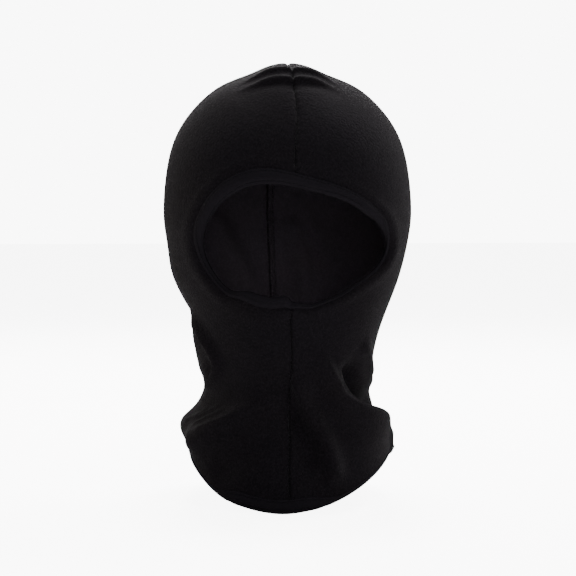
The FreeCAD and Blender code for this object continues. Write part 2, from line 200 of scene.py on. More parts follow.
def hem_flat(turn, margin):
    """Place round the hem, margin above its edge."""
    turn, margin = np.broadcast_arrays(np.asarray(turn, float), np.asarray(margin, float))
    turn = (turn + math.pi) % (2 * math.pi) - math.pi
    radius = HEM_RADIUS - margin + hem_shift(turn)
    height = np.full(turn.shape, HEM_DROP)
    for _ in range(12):
        wide = section(height)[0][..., 0]
        height = HEM_DROP + HEM_RADIUS - np.sqrt(np.maximum(radius ** 2 - (wide * np.sin(turn)) ** 2, 0))
    return flat_at(turn, BROW_REACH - height)


def hem_place(flat):
    """The turn round the hem and the margin above its edge of flat places, as hem_flat takes them."""
    turn, reach = turn_and_reach(flat)
    height = np.minimum(BROW_REACH - reach, 0)
    wide = section(height)[0][..., 0]
    drop = np.minimum(height - HEM_DROP - HEM_RADIUS, -1)
    return turn, HEM_RADIUS + hem_shift(turn) - np.hypot(drop, wide * np.sin(turn))


def smooth(low, high, value):
    """0 below low, 1 above high, and an even S between."""
    t = np.clip((value - low) / (high - low), 0, 1)
    return t * t * (3 - 2 * t)


def hill(value, middle, half_width):
    """A smooth hill of height 1 round the middle."""
    return np.exp(-((value - middle) / half_width) ** 2)


# ---------------- rolled edges

FACE_ROLL_RADIUS, HEM_ROLL_RADIUS = 3.8, 4.5
CLEAR_MARGIN = 20.0       # stands in for the margin of places that aren't rolled


def round_hill(turn, middle, half_width):
    """A hill on a closed round, with no step where the turn starts again."""
    return hill((turn - middle + math.pi) % (2 * math.pi) - math.pi, 0, half_width)


def face_roll(turn):
    """How much of the opening's edge is rolled inside: least at the brow, most at the cheeks and chin."""
    even = 9.2 - 2.9 * np.sin(turn) + 2.9 * np.cos(turn) + 4.1 * np.cos(turn) ** 2
    wide = 7.4 * round_hill(turn, 0.82, 0.46) + 1.3 * round_hill(turn, -0.2, 0.8)
    narrow = 3.0 * round_hill(turn, -2.55, 0.4) + 1.8 * round_hill(turn, -3.0, 0.3)
    return even - wide + narrow


def face_radius(turn):
    """Radius of the opening's rolled edge: tightest beside the wearer's left eye."""
    return FACE_ROLL_RADIUS - 0.6 * round_hill(turn, -0.2, 0.9)


def hem_radius(turn):
    """Radius of the hem's rolled edge, the same all round."""
    return np.full(np.shape(turn), HEM_ROLL_RADIUS)


def hem_roll(turn):
    """How much of the hem is rolled inside: least at the middle of the front, most at the shoulders."""
    angle = np.degrees(turn)
    return (5.0 + 7.5 * smooth(14, 38, np.abs(angle + 9))) * (1 - 0.75 * smooth(100, 140, np.abs(angle)))


def roll(margin, offset, start, radius):
    """Margin and offset of places beside an edge once the cloth is rolled inwards from start."""
    angle = np.maximum(start - margin, 0) / radius
    rolled = margin < start
    margin = np.where(rolled, start - (radius + offset) * np.sin(angle), margin)
    return margin, np.where(rolled, (radius + offset) * np.cos(angle) - radius, offset)


def roll_edges(flat, offset):
    """Flat places and offsets once the face opening's edge and the hem are rolled in."""
    for place, route, depth, radius in ((face_place, face_flat, face_roll, face_radius),
                                        (hem_place, hem_flat, hem_roll, hem_radius)):
        turn, margin = place(flat)
        near = margin < depth(turn)
        new_margin, new_offset = roll(margin, offset, depth(turn), radius(turn))
        rolled = route(turn, np.where(near, new_margin, CLEAR_MARGIN))
        flat = np.where(near[..., None], rolled, flat)
        offset = np.where(near, new_offset, offset)
    return flat, offset


DROOP_WIDTH = 62.0        # half width of the part of the front that droops
DROOP_LEVEL = -19.0       # level about which it turns
SIDE_WIDTH = 88.0         # half width of the hood beside the opening
SHIFT_RADIUS = 78.0       # mean radius that sideways shifts are measured on


def droop_rise(share, height, near):
    """How far cloth round the opening is moved up: share is 1 at the droop's edge on the wearer's left."""
    lean = share * (1 - 0.4 * np.minimum(share ** 2, 1.3))
    droop = 4.2 * smooth(0.0, 0.3, share) * smooth(1.0, 0.55, share) * smooth(-5, -35, height)
    arch = 4.0 * hill(share, 0.62, 0.4) * smooth(-18, 5, height)
    return near * (-0.33 * lean * (height - DROOP_LEVEL) - 1.8 * lean - droop + arch)


def slide(flat):
    """Cloth shifted along the surface: the opening droops on the wearer's left, its binding's overlapped ends
    stand up beside the chin seam, and the seams wander from the middle."""
    turn, reach = turn_and_reach(flat)
    height = level_at(reach)
    across = np.sin(turn) * SIDE_WIDTH
    share = across / DROOP_WIDTH
    front = np.cos(turn) > 0
    near = smooth(2.1, 1.0, np.hypot(share * 0.94, (height - DROOP_LEVEL) / 45)) * front
    lap = smooth(0.5, -6, across) * smooth(-60, -34, across) * hill(height, -54, 9) * front
    rise = droop_rise(share, height, near) + 6.8 * lap
    wander = 0.5 * np.sin(height / 9) - 5.6 * smooth(-42, -74, height) * (1 - 0.35 * near)
    aside = FACE_ASIDE * near + wander
    turn = turn + aside * smooth(1.75, 0.3, np.abs(turn)) / SHIFT_RADIUS * smooth(100, 80, height)
    turn = turn + BACK_ASIDE / SIDE_WIDTH * smooth(1.9, 2.8, np.abs(turn)) * smooth(70, 20, height)
    return flat_at(turn, reach - rise)


# ---------------- folds

LINE_STEPS, SECTION_STEPS = 8, 4          # steps from point to point of a fold's line and of a section


def spans(p, steps):
    """The smooth curve from each point to the next, apart from the two end points, in steps."""
    t = (np.arange(steps) / steps)[:, None]
    return [0.5 * (2 * b + (c - a) * t + (2 * a - 5 * b + 4 * c - d) * t ** 2
                   + (3 * b - a - 3 * c + d) * t ** 3) for a, b, c, d in zip(p, p[1:], p[2:], p[3:])]


def curve_through(points):
    """A smooth line through the points."""
    p = np.asarray(points, float)
    p = np.vstack([2 * p[0] - p[1], p, 2 * p[-1] - p[-2]])
    return np.vstack(spans(p, LINE_STEPS) + [p[-2:-1]])


def closed_curve(points):
    """A smooth closed line through the points."""
    p = np.asarray(points, float)
    return np.vstack(spans(np.vstack([p[-1:], p, p[:2]]), SECTION_STEPS))


def beside(line, places):
    """Signed distance of places from a line, positive on its left, and the share of the line passed there."""
    legs = np.diff(line, axis=0)
    long = np.linalg.norm(legs, axis=1)
    start = np.concatenate([[0], np.cumsum(long)])
    best = np.full(places.shape[:-1], np.inf)
    signed, share = np.zeros_like(best), np.zeros_like(best)
    for at, leg, size, passed in zip(line, legs, long, start):
        to = places - at
        t = np.clip((to @ leg) / size ** 2, 0, 1)
        gap = np.linalg.norm(to - t[..., None] * leg, axis=-1)
        cross = leg[0] * to[..., 1] - leg[1] * to[..., 0]
        nearer = gap < best
        best = np.where(nearer, gap, best)
        signed = np.where(nearer, np.where(cross < 0, -gap, gap), signed)
        share = np.where(nearer, (passed + t * size) / start[-1], share)
    return signed, share


# Each fold: its line as (degrees round from the front, height), how far it stands out, and its half width on
# the left and on the right of the line's direction. A negative rise is a valley.
FOLDS = [
    # the wearer's left of the neck: the flare's upper edge laps over the neck, with a hollow above it
    ([(4, -88), (15, -99), (24, -112), (31, -125), (42, -135), (60, -143), (76, -150), (92, -158),
      (104, -166)], 9.0, 4.2, 13),
    ([(30, -100), (41, -115), (51, -125), (64, -132), (82, -136), (100, -142)], -11.0, 8, 4.5),
    ([(44, -88), (54, -98), (64, -108), (76, -118)], 2.6, 6, 6),
    # the wearer's right of the neck: the front cloth's edge, the dip behind it and the cloth behind that
    ([(-86, -68), (-77, -77), (-67, -86), (-61, -94), (-57, -103), (-60, -111), (-69, -119), (-84, -127)],
     5.6, 5.5, 2.2),
    ([(-92, -76), (-80, -85), (-72, -94), (-67, -103), (-71, -112), (-86, -122)], -7.0, 4.2, 14),
    ([(-112, -74), (-104, -90), (-101, -106), (-106, -122)], 3.6, 12, 12),
    # the flare on the wearer's right, with short creases above its main ridge
    ([(-12, -124), (-26, -136), (-42, -149), (-58, -160), (-76, -170)], 9.0, 7, 12),
    ([(-30, -136), (-44, -146), (-62, -156)], 1.1, 2.2, 1.6),
    ([(-44, -137), (-57, -145), (-68, -153)], 1.2, 1.6, 2.0),
    ([(-50, -133), (-64, -142), (-77, -149)], 0.9, 2.0, 1.6),
    ([(-62, -138), (-72, -144), (-84, -153)], 0.9, 1.6, 1.8),
    ([(-10, -142), (-22, -158), (-36, -172), (-52, -184)], -4.0, 9, 9),
    # the slack back of the head
    ([(-139, 6), (-146, -8), (-153, -28), (-160, -48), (-167, -72)], -5.6, 9, 8),
    ([(172, 0), (168, -24), (163, -50), (160, -74)], -7.0, 9, 5),
    ([(-126, 4), (-132, -14), (-140, -38), (-148, -64)], 2.4, 7, 7),
    # the bib on the wearer's left
    ([(-6, -104), (0, -119), (5, -133), (9, -146), (13, -158), (16, -171), (17, -182), (14, -195)],
     9.0, 9, 3.4),
    ([(-3, -130), (1, -147), (6, -163), (10, -180)], -5.0, 4.5, 4.5),
    ([(74, -154), (79, -164), (78, -176), (70, -184)], 2.6, 3, 4),
]

# Each swell: degrees round from the front, height, how far it stands out, half widths across and upwards
SWELLS = [
    (92, -92, -3.8, 34, 26),
    (84, -121, 2.0, 16, 9),
    (92, -156, -9.6, 30, 14),
    (-92, -153, 4.6, 24, 9),
    (-88, -170, -3.6, 26, 9),
    (-90, -44, 2.6, 30, 17),
    (-92, -76, -2.6, 24, 9),
]


def fold_height(flat, height):
    """How far all the folds and swells together stand out at each place."""
    turn, _ = turn_and_reach(flat)
    places = np.stack([turn * FOLD_RADIUS, height], axis=-1)
    total = np.zeros(turn.shape)
    for route, rise, left, right in FOLDS:
        line = curve_through([(math.radians(angle) * FOLD_RADIUS, level) for angle, level in route])
        gap, share = beside(line, places)
        ends = smooth(0, 0.22, share) * smooth(1, 0.78, share)
        total += rise * ends * np.where(gap > 0, hill(gap, 0, left), hill(gap, 0, right))
    for angle, level, rise, across, up in SWELLS:
        total += rise * hill((turn - math.radians(angle)) * FOLD_RADIUS, 0, across) * hill(height, level, up)
    return total


# Each crown tuck: its front-to-back place at the seam, its height, and for the wearer's right and left how
# far it runs from the seam and how much it swings backwards on the way
TUCKS = [
    (-54.0, 3.2, (44.0, 0.30), (40.0, 0.22)),
    (-42.0, 3.0, (42.0, 0.30), (40.0, 0.14)),
]


def tuck_height(points):
    """Lapped tucks at the crown: steep in front, and easing away behind."""
    total = np.zeros(points.shape[:-1])
    across = np.abs(points[..., 0])
    on_right = points[..., 0] < 0
    for place, rise, right, left in TUCKS:
        run, swing = (np.where(on_right, right[k], left[k]) for k in (0, 1))
        back = points[..., 1] - (place + swing * across)
        step = np.where(back > 0, np.exp(-(np.maximum(back, 0) / 9) ** 1.3), hill(back, 0, 2.3))
        trough = -0.3 * hill(back, -6.5, 4.0)
        total += rise * (step + trough) * (1 - smooth(0.3, 1.0, across / run)) * (points[..., 2] > 40)
    return total


def form_height(points, flat):
    """Broad departures from the plain form: fuller temples, a tent along the crown seam, a slack back."""
    x, y, z = np.moveaxis(points, -1, 0)
    full = 4.2 * hill(z, 62, 30) * (x / 90) ** 2
    tent = -3.4 * hill(np.abs(x), 32, 16) * smooth(60, 100, z) - 1.2 * smooth(100, 109, z)
    slack = 2.0 * hill(z, -30, 60) * smooth(20, 90, y) * np.sin(x / 12 + z / 22 + 0.6)
    pucker = 0.2 * np.sin(z / 1.4 + y / 1.9) * hill(flat[..., 0], 0, 6)
    return full + tent + slack + pucker


def lip_height(flat):
    """The groove where the fleece meets the face tape, and the fleece's fullness just outside it."""
    turn, margin = face_place(flat)
    full = 0.5 + 0.5 * smooth(0.9, 0.2, np.sin(turn))
    return full * (0.9 * hill(margin, 15.5, 3.4) - 0.9 * hill(margin, 10.9, 1.3))


def drape(flat, offset):
    """Points at those flat places, offset out of the fleece's outer face, with the folds laid in."""
    lip = lip_height(flat)
    rolled_flat, rolled_offset = roll_edges(flat, offset)
    flat = slide(rolled_flat)
    points, normals = surface(flat)
    stand = fold_height(flat, points[..., 2]) + tuck_height(points) + form_height(points, rolled_flat) + lip
    return points + normals * (stand + rolled_offset)[..., None]


# ---------------- mesh making

def new_piece(name, points, faces, slot, replaces, uv=None):
    """A smooth mesh object from points in millimetres, riding on the hood and standing for CAD nodes."""
    mesh = bpy.data.meshes.new(name)
    faces = np.asarray(faces, np.int32)
    mesh.vertices.add(len(points))
    mesh.vertices.foreach_set("co", (np.asarray(points) * MM).astype(np.float32).ravel())
    sides = faces.shape[1]
    mesh.loops.add(faces.size)
    mesh.loops.foreach_set("vertex_index", faces.ravel())
    mesh.polygons.add(len(faces))
    mesh.polygons.foreach_set("loop_start", np.arange(0, faces.size, sides, dtype=np.int32))
    mesh.update(calc_edges=True)
    if uv is not None:
        layer = mesh.uv_layers.new(name="cloth")
        layer.data.foreach_set("uv", np.asarray(uv, np.float32)[faces.ravel()].ravel())
    mesh.validate()
    mesh.shade_smooth()
    piece = bpy.data.objects.new(name, mesh)
    bpy.context.scene.collection.objects.link(piece)
    mesh.materials.append(MATERIALS[slot])
    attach(piece, "root")
    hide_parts(*replaces)
    return piece


def grid_faces(rows, columns, wrap_rows=False, wrap_columns=False, flip=False):
    """Quads of a grid whose points are numbered row by row."""
    i, j = np.meshgrid(np.arange(rows if wrap_rows else rows - 1),
                       np.arange(columns if wrap_columns else columns - 1), indexing="ij")
    i2, j2 = (i + 1) % rows, (j + 1) % columns
    quads = np.stack([i * columns + j, i * columns + j2, i2 * columns + j2, i2 * columns + j], axis=-1)
    quads = quads.reshape(-1, 4)
    return quads[:, ::-1] if flip else quads


# ---------------- fleece panels

# Columns beside a seam: their distances from the middle plane
SEAM_EDGE = np.array([6.0, 4.6, 3.5, 2.6, 1.9, 1.35, 0.9, 0.55, 0.3, 0.12, 0.0])
# The way round an allowance: distance from the middle plane, and share of the allowance's depth
RIB = [(-0.04, 0.35), (-0.04, 0.7), (0.0, 0.93), (0.3, 1.0), (0.75, 1.02), (1.25, 1.02), (1.65, 1.0),
       (1.9, 0.93), (1.95, 0.7), (1.95, 0.35)]
# The way out of its foot: distance from the middle plane, and depth below the fleece's inner face
RIB_FOOT = [(2.1, 0.75), (2.5, 0.4), (3.2, 0.15), (4.4, 0.03)]
ROWS, COLUMNS = 250, 140


def seam_dip(gap):
    """How deep the seam draws the fleece in, at that distance from it."""
    return 2.1 * np.exp(-(gap / 0.85) ** 1.4) + 0.5 * np.exp(-(gap / 3.6) ** 2)


def row_shares():
    """Shares of the way from the face opening to the hem, closer at the crown tucks and at both ends."""
    v = np.linspace(0, 1, 2000)
    density = 1 + 2.4 * hill(v, 0.185, 0.05) + 0.8 * hill(v, 0, 0.05) + 0.5 * hill(v, 1, 0.05)
    passed = np.concatenate([[0], np.cumsum(density[1:] + density[:-1])])
    return np.interp(np.linspace(0, 1, ROWS), passed / passed[-1], v)


def seam_column(gap, top, v):
    """Flat places along the chin seam, or along the crown seam if top, that far from the middle plane."""
    turn = math.acos(gap / (FACE_WIDTH + RAW_FACE)) * (1 if top else -1)
    start = face_flat(np.array(turn), np.array(RAW_FACE))[1]
    end = hem_flat(math.pi if top else 0.0, RAW_HEM)[1]
    along = start + (end - start) * v
    reach = np.maximum(np.abs(along), 1.0)
    tilt = np.minimum(reach / BROW_REACH, 1) * math.pi / 2
    wide = section(np.minimum(BROW_REACH - reach, 0))[0][..., 0] * np.sin(tilt)
    return np.stack([gap * reach / wide, along], axis=-1)


def main_columns(v, side):
    """Flat places between the seams, from the opening to the hem: a patch blended from its four sides."""
    gap = SEAM_EDGE[0]
    u = np.linspace(0, 1, COLUMNS)
    turn = math.acos(gap / (FACE_WIDTH + RAW_FACE))
    inner = face_flat(-turn + 2 * turn * u, np.full(COLUMNS, RAW_FACE)) * (side, 1)
    round_start = math.asin(gap / LEVELS[1, 1])
    outer = hem_flat(side * (round_start + (math.pi - 2 * round_start) * u), RAW_HEM)
    chin, crown = seam_column(gap, False, v) * (side, 1), seam_column(gap, True, v) * (side, 1)
    inner[0], inner[-1], outer[0], outer[-1] = chin[0], crown[0], chin[-1], crown[-1]
    u, v = u[None, :, None], v[:, None, None]
    sides = (1 - u) * chin[:, None] + u * crown[:, None]
    ends = (1 - v) * inner[None] + v * outer[None]
    start, end = (1 - u) * chin[0] + u * crown[0], (1 - u) * chin[-1] + u * crown[-1]
    return sides + ends - ((1 - v) * start + v * end)


def rib_depths(top, v):
    """Depth of the allowance's free edge below the outer face. The allowance ends at the tapes."""
    return FLEECE + 0.25 + (ALLOWANCE - 0.25) * smooth(0.0, 1.0, rib_share(top, v))


def rib_share(top, v):
    """0 under a tape and 1 where the allowance has its full height."""
    start = face_flat(np.array(math.pi / 2 if top else -math.pi / 2), np.array(RAW_FACE))[1]
    length = abs(hem_flat(math.pi if top else 0.0, RAW_HEM)[1] - start)
    from_face = length * v - (BAND_WIDTH + 2.5 - RAW_FACE)
    from_hem = length * (1 - v) - (BAND_WIDTH - RAW_HEM)
    return np.clip(np.minimum(from_face, from_hem) / 3.0, 0, 1)


def seam_side(top, v, side):
    """Flat places and offsets of the columns down to a seam, round its allowance and onto the inner face."""
    depth = rib_depths(top, v)
    shallow = 0.4 + 0.6 * rib_share(top, v)
    bottom = seam_dip(SEAM_EDGE[-1]) * shallow
    offsets = [-seam_dip(gap) * shallow for gap in SEAM_EDGE[1:]]
    for gap, share in RIB:
        low = bottom if gap < 1 else FLEECE
        offsets.append(-(low + (depth - low) * share))
    offsets += [np.full(len(v), -FLEECE - below) for gap, below in RIB_FOOT]
    gaps = [*SEAM_EDGE[1:], *(gap for gap, share in RIB + RIB_FOOT)]
    return [seam_column(gap, top, v) * (side, 1) for gap in gaps], offsets


def panel(name, side, node):
    """One half of the hood, the wearer's left if side is 1: outer face, both allowances and inner face."""
    v = row_shares()
    main = main_columns(v, side)
    main_out = [main[:, k] for k in range(COLUMNS)]
    chin_flats, chin_offsets = seam_side(False, v, side)
    crown_flats, crown_offsets = seam_side(True, v, side)
    dip = seam_dip(SEAM_EDGE[0])
    outer = [np.full(ROWS, -dip * max(0, 1 - min(k, COLUMNS - 1 - k) / 4)) for k in range(COLUMNS)]
    inner = [np.full(ROWS, -FLEECE)] * COLUMNS
    flats = main_out + crown_flats + main_out[::-1] + chin_flats[::-1]
    offsets = outer + crown_offsets + inner + chin_offsets[::-1]
    flat = np.stack(flats, axis=1)
    points = drape(flat, np.stack(offsets, axis=1))
    loop = flat.shape[1]
    faces = grid_faces(ROWS, loop, wrap_columns=True, flip=side > 0)
    faces = np.vstack([faces, end_caps(loop, len(crown_flats), side > 0)])
    piece = new_piece(name, points.reshape(-1, 3), faces, "fleece", [node], flat.reshape(-1, 2))
    # The inner face, with most of both allowances, takes the painted-light fleece: far paler than the outer
    # face, standing in for light that reaches inside the hood
    piece.data.materials.append(FLEECE_BACK_PAINTED_LIGHT)
    first_inner = COLUMNS + len(crown_flats) // 2
    past_inner = loop - len(chin_flats) + len(chin_flats) // 2
    column = faces[:, 0] % loop
    inside = (column >= first_inner) & (column < past_inner)
    piece.data.polygons.foreach_set("material_index", inside.astype(np.int32))
    return piece


def end_caps(loop, ribs, flip):
    """Quads that close the fleece's thickness along its two raw edges."""
    quads = []
    for first in (0, (ROWS - 1) * loop):
        pairs = [(k, 2 * COLUMNS + ribs - 1 - k) for k in range(COLUMNS)]
        left = [(pairs[-1][0] + 1 + k, pairs[-1][1] - 1 - k) for k in range(ribs // 2)]
        right = [((-1 - k) % loop, (pairs[0][1] + 1 + k) % loop) for k in range(ribs // 2)]
        chain = right[::-1] + pairs + left
        for (a, b), (c, d) in zip(chain, chain[1:]):
            quad = [first + a, first + b, first + d, first + c]
            quads.append(quad if (first == 0) != flip else quad[::-1])
    return np.array([q for q in quads if len(set(q)) == 4])


# ---------------- rings: tapes and elastic

# A folded tape's section: distance from the fold line, and offset out of the fleece's outer face
TAPE_SECTION = [
    (11.0, 0.25), (10.6, 0.85), (9.9, 0.95), (9.2, 0.7), (8.4, 1.0), (7.0, 1.25), (5.2, 1.25), (4.2, 1.0),
    (3.6, 0.72), (3.0, 1.0), (2.0, 1.0), (1.0, 0.7), (0.25, -0.1), (0.0, -1.0), (0.25, -1.9), (1.0, -2.7),
    (2.0, -3.0), (3.0, -3.0), (3.6, -2.75), (4.4, -3.0), (6.5, -3.15), (8.4, -3.0), (9.2, -2.75),
    (9.9, -2.9), (10.6, -2.8), (11.0, -2.3), (10.7, -2.05), (9.0, -2.03), (6.0, -2.0), (3.0, -1.95),
    (1.4, -1.7), (0.9, -1.0), (1.4, -0.3), (3.0, -0.03), (6.0, 0.02), (9.0, 0.03), (10.7, 0.04),
]
# The elastic's section, measured the same way
ELASTIC_SECTION = [
    (1.2, -0.5), (4.0, -0.48), (6.5, -0.5), (6.6, -1.0), (6.5, -1.5), (4.0, -1.52), (1.2, -1.5), (1.05, -1.0),
]
RING_STEPS = 420
WEAVE_LENGTH = 350.0      # how long the cloth pattern is along a ring


def ring_piece(name, slot, nodes, route, section_points, swell=None):
    """A closed band along a route, with that section. route(turn, margin) gives flat places."""
    turn = np.linspace(0, 2 * math.pi, RING_STEPS, endpoint=False)[:, None]
    margin, offset = section_points[None, :, 0], section_points[None, :, 1]
    if swell is not None:
        margin, offset = swell(turn, margin, offset)
    turn, margin, offset = np.broadcast_arrays(turn, margin, offset)
    points = drape(route(turn, margin), offset)
    count = section_points.shape[0]
    faces = grid_faces(RING_STEPS, count, wrap_rows=True, wrap_columns=True, flip=route is face_flat)
    along = np.linspace(0, 1, RING_STEPS, endpoint=False)[:, None] * np.ones((1, count))
    uv = np.stack([along * WEAVE_LENGTH, margin], axis=-1).reshape(-1, 2)
    return new_piece(name, points.reshape(-1, 3), faces, slot, nodes, uv)


def face_swell(turn, margin, offset):
    """Uneven roll of the face tape, and the lump where its ends are joined beside the chin seam."""
    past_bottom = (turn + math.pi / 2 + math.pi) % (2 * math.pi) - math.pi
    wander = 0.35 * np.sin(3 * turn + 1.0) + 0.2 * np.sin(7 * turn + 0.4)
    lump = smooth(-0.22, -0.12, past_bottom) * smooth(0.035, 0.0, past_bottom)
    margin = margin + wander * (1 - margin / BAND_WIDTH) * 0.6 - 2.0 * lump * hill(margin, 0, 5)
    return margin, offset * (1 + 0.06 * np.sin(11 * turn)) + 0.5 * lump * np.sign(offset + 1)


# ---------------- threads

TUBE_SIDES = 6
TUBE_CAP = np.array([[0, 1, 2, 3], [0, 3, 4, 5]])
TUBE_TAPER = 0.45         # share of a thread's radius at its ends
THREAD_RADIUS, OVERLOCK_RADIUS = 0.24, 0.34
STITCH_LIFT = 0.05        # how far a stitch rises from its ends
STITCH_SHARE = 0.74       # share of the pitch that one stitch fills
ROW_MARGINS = (3.6, 9.2)  # where both needle rows of a tape run, from its fold


def carried_aside(along):
    """A sideways direction at each point of a path, carried along it without twisting."""
    aside = np.empty_like(along)
    before = np.eye(3)[np.argmin(np.abs(along[0]))]
    for number, direction in enumerate(along):
        before = before - direction * (before @ direction)
        before = before / max(np.linalg.norm(before), 1e-9)
        aside[number] = before
    return aside


def tubes(name, paths, nodes, radius=THREAD_RADIUS, look=None):
    """One mesh of round threads, tapered at both ends, each along its own list of points."""
    all_points, all_faces, all_uv = [], [], []
    count = 0
    turn = np.arange(TUBE_SIDES) * 2 * math.pi / TUBE_SIDES
    for path in paths:
        path = np.asarray(path, float)
        along = np.gradient(path, axis=0)
        along /= np.maximum(np.linalg.norm(along, axis=1, keepdims=True), 1e-9)
        across = carried_aside(along)
        up = np.cross(across, along)
        size = np.full(len(path), radius)
        size[[0, -1]] *= TUBE_TAPER
        ring = across[:, None] * np.cos(turn)[None, :, None] + up[:, None] * np.sin(turn)[None, :, None]
        points = path[:, None] + ring * size[:, None, None]
        places = np.meshgrid(np.arange(len(path)), np.arange(TUBE_SIDES), indexing="ij")
        all_points.append(points.reshape(-1, 3))
        all_uv.append(np.stack(places, axis=-1).reshape(-1, 2))
        all_faces.append(grid_faces(len(path), TUBE_SIDES, wrap_columns=True) + count)
        all_faces.append(TUBE_CAP[:, ::-1] + count + (len(path) - 1) * TUBE_SIDES)
        all_faces.append(TUBE_CAP + count)
        count += len(path) * TUBE_SIDES
    faces = np.vstack(all_faces)[:, ::-1]
    piece = new_piece(name, np.vstack(all_points), faces, "thread", nodes, np.vstack(all_uv))
    if look:
        piece.data.materials[0] = look
    return piece


def stitch_row(route, margin, offset, count):
    """A row of stitches round a route, each dipping into the cloth at both ends."""
    turn = (np.arange(count)[:, None] + np.linspace(0, STITCH_SHARE, 6)) * 2 * math.pi / count
    arch = np.sin(np.linspace(0, math.pi, 6)) ** 0.6
    return drape(route(turn, np.full(turn.shape, margin)), offset + STITCH_LIFT * arch * np.ones(turn.shape))


def zigzag_row(route, margins, offset, count):
    """A looper thread that crosses from one needle row to the other and back, all the way round."""
    turn = np.linspace(0, 2 * math.pi, count * 4, endpoint=False)
    swing = np.array([0, 0.5, 1, 0.5] * count)
    lift = np.array([0, 0.25, 0, 0.25] * count)
    margin = margins[0] + (margins[1] - margins[0]) * swing
    path = drape(route(turn, margin), offset - lift)
    return [np.vstack([path, path[:1]])]


SEAM_LINE = 0.03          # how far from the seam the line is that its threads are laid out from
# One overlock stitch over the allowances' edge: how far to one side of the seam, and depth
OVERLOCK_TURN = [(-2.12, 4.3), (-2.16, 6.6), (-1.9, 8.25), (0.0, 8.42), (1.9, 8.25), (2.16, 6.6), (2.12, 4.3)]


def seam_points(top, pitch):
    """Flat places along a sewn stretch of the middle seam, a pitch apart."""
    v = np.linspace(0, 1, 3000)
    line = seam_column(SEAM_LINE, top, v)
    points = drape(line, np.zeros(len(v)))
    passed = np.concatenate([[0], np.cumsum(np.linalg.norm(np.diff(points, axis=0), axis=1))])
    open_rows = rib_share(top, v) >= 1
    low, high = passed[open_rows][0] + 1, passed[open_rows][-1] - 1
    at = np.interp(np.linspace(low, high, round((high - low) / pitch)), passed, v)
    return seam_column(SEAM_LINE, top, at)


def on_rib(flat, aside, depth):
    """Points that far to one side of the seam, and that deep below the fleece's outer face."""
    return drape(np.stack([flat[..., 0] / SEAM_LINE * aside, flat[..., 1]], axis=-1), -depth)


def needle_rows(top):
    """The seam's needle row, seen on both sides of its allowances."""
    flat = seam_points(top, 3.4)
    lines = flat[:-1, None] + (flat[1:] - flat[:-1])[:, None] * np.linspace(0, 0.72, 4)[:, None]
    proud = 2.0 + 0.12 * np.array([0, 1, 1, 0]) * np.ones(lines.shape[:-1])
    depth = np.full(lines.shape[:-1], FLEECE + 1.5)
    return np.vstack([on_rib(lines, side * proud, depth) for side in (-1, 1)])


def overlock(top):
    """One thread that wraps the allowances' free edge over and over."""
    flat = seam_points(top, 1.6)
    share = np.arange(len(OVERLOCK_TURN)) / len(OVERLOCK_TURN)
    places = flat[:-1, None] + (flat[1:] - flat[:-1])[:, None] * share[:, None]
    turns = np.array([OVERLOCK_TURN[::-1] if number % 2 else OVERLOCK_TURN for number in range(len(places))])
    return on_rib(places, turns[..., 0], turns[..., 1]).reshape(1, -1, 3)


# ---------------- materials

def wire(tree, node, socket, value):
    """Sets an input, by name or number, or links it if the value is an output."""
    target = node.inputs[socket]
    if isinstance(value, bpy.types.NodeSocket):
        tree.links.new(value, target)
    else:
        target.default_value = value


def add_node(tree, kind, settings=None, **inputs):
    """A shader node of that kind. Inputs are given by name, with underscores for spaces."""
    node = tree.nodes.new("ShaderNode" + kind)
    for key, value in (settings or {}).items():
        setattr(node, key, value)
    for key, value in inputs.items():
        wire(tree, node, key.replace("_", " "), value)
    return node


def mix_colour(tree, factor, first, second, blend="MIX"):
    """The output of a colour mix."""
    node = add_node(tree, "Mix", {"data_type": "RGBA", "blend_type": blend})
    for socket, value in ((0, factor), (6, first), (7, second)):
        wire(tree, node, socket, value)
    return node.outputs[2]


def math_node(tree, operation, first, second):
    """The output of an operation on two numbers."""
    node = add_node(tree, "Math", {"operation": operation})
    wire(tree, node, 0, first)
    wire(tree, node, 1, second)
    return node.outputs[0]


def cloth_material(name, roughness, sheen, sheen_roughness, specular):
    """A new material, its node tree and its main shader, set up as cloth."""
    material = bpy.data.materials.new(name)
    material.use_nodes = True
    tree = material.node_tree
    shader = tree.nodes["Principled BSDF"]
    wire(tree, shader, "Roughness", roughness)
    wire(tree, shader, "Sheen Weight", sheen)
    wire(tree, shader, "Sheen Roughness", sheen_roughness)
    wire(tree, shader, "Specular IOR Level", specular)
    return material, tree, shader


